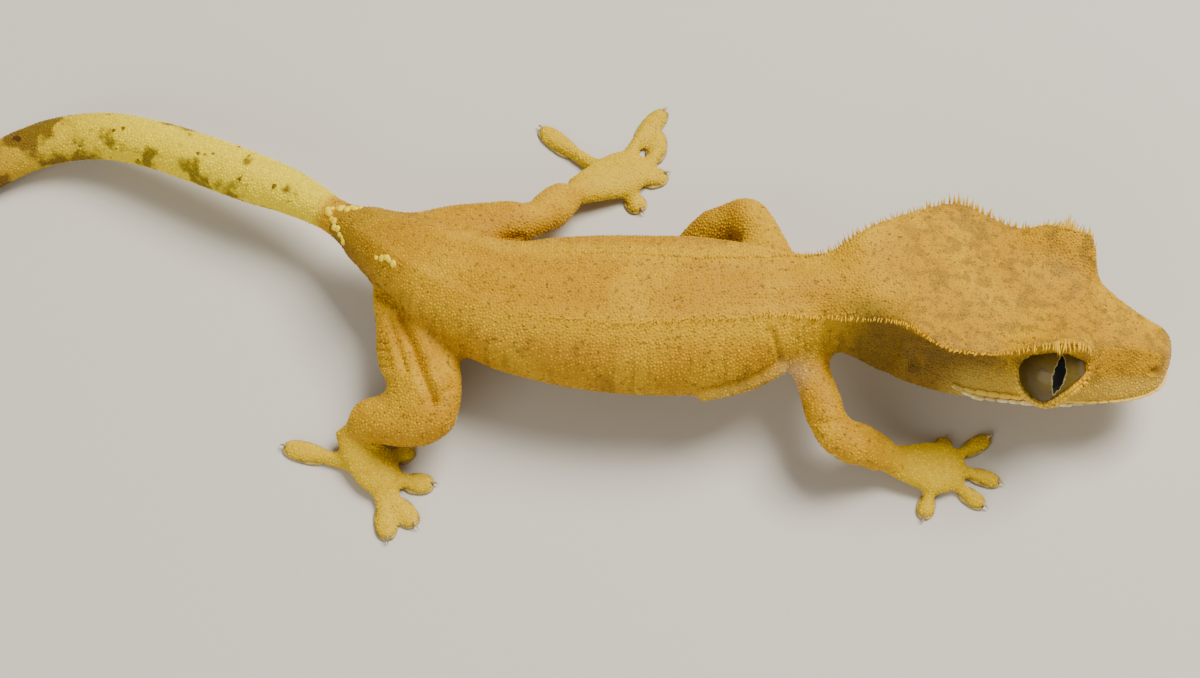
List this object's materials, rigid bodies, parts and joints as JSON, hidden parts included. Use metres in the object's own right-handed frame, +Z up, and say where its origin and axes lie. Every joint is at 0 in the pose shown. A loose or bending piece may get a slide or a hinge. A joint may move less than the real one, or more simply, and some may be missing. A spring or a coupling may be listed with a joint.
{
  "type": "crested gecko model",
  "caption": "Life-size still model of a crested gecko standing on its feet, head turned slightly and tail curled on the ground.",
  "frame": {"origin": "on the ground at the middle of the model's footprint", "axes": "+X towards the snout, +Y to the animal's left, +Z up"},
  "size_m": [0.1559, 0.061, 0.021],
  "materials": {
    "skin": "soft matt granular skin, golden ochre with finer darker striation",
    "tail_skin": "soft matt granular skin, pale yellow with brown blotches",
    "foot_skin": "soft matt granular skin, yellow with olive toe pads",
    "eye": "wet clear spectacle over an olive iris with a black slit pupil",
    "claw": "translucent horn"
  },
  "bodies": {
    "root": {"head": "skin", "neck": "skin", "torso": "skin", "tail_base": "tail_skin", "tail_middle": "tail_skin", "tail_tip": "tail_skin", "eye_left": "eye", "eye_right": "eye", "upper_arm_left": "skin", "upper_arm_right": "skin", "forearm_left": "skin", "forearm_right": "skin", "hand_left": "foot_skin", "hand_right": "foot_skin", "thigh_left": "skin", "thigh_right": "skin", "shank_left": "skin", "shank_right": "skin", "foot_left": "foot_skin", "foot_right": "foot_skin"}
  },
  "joints": []
}
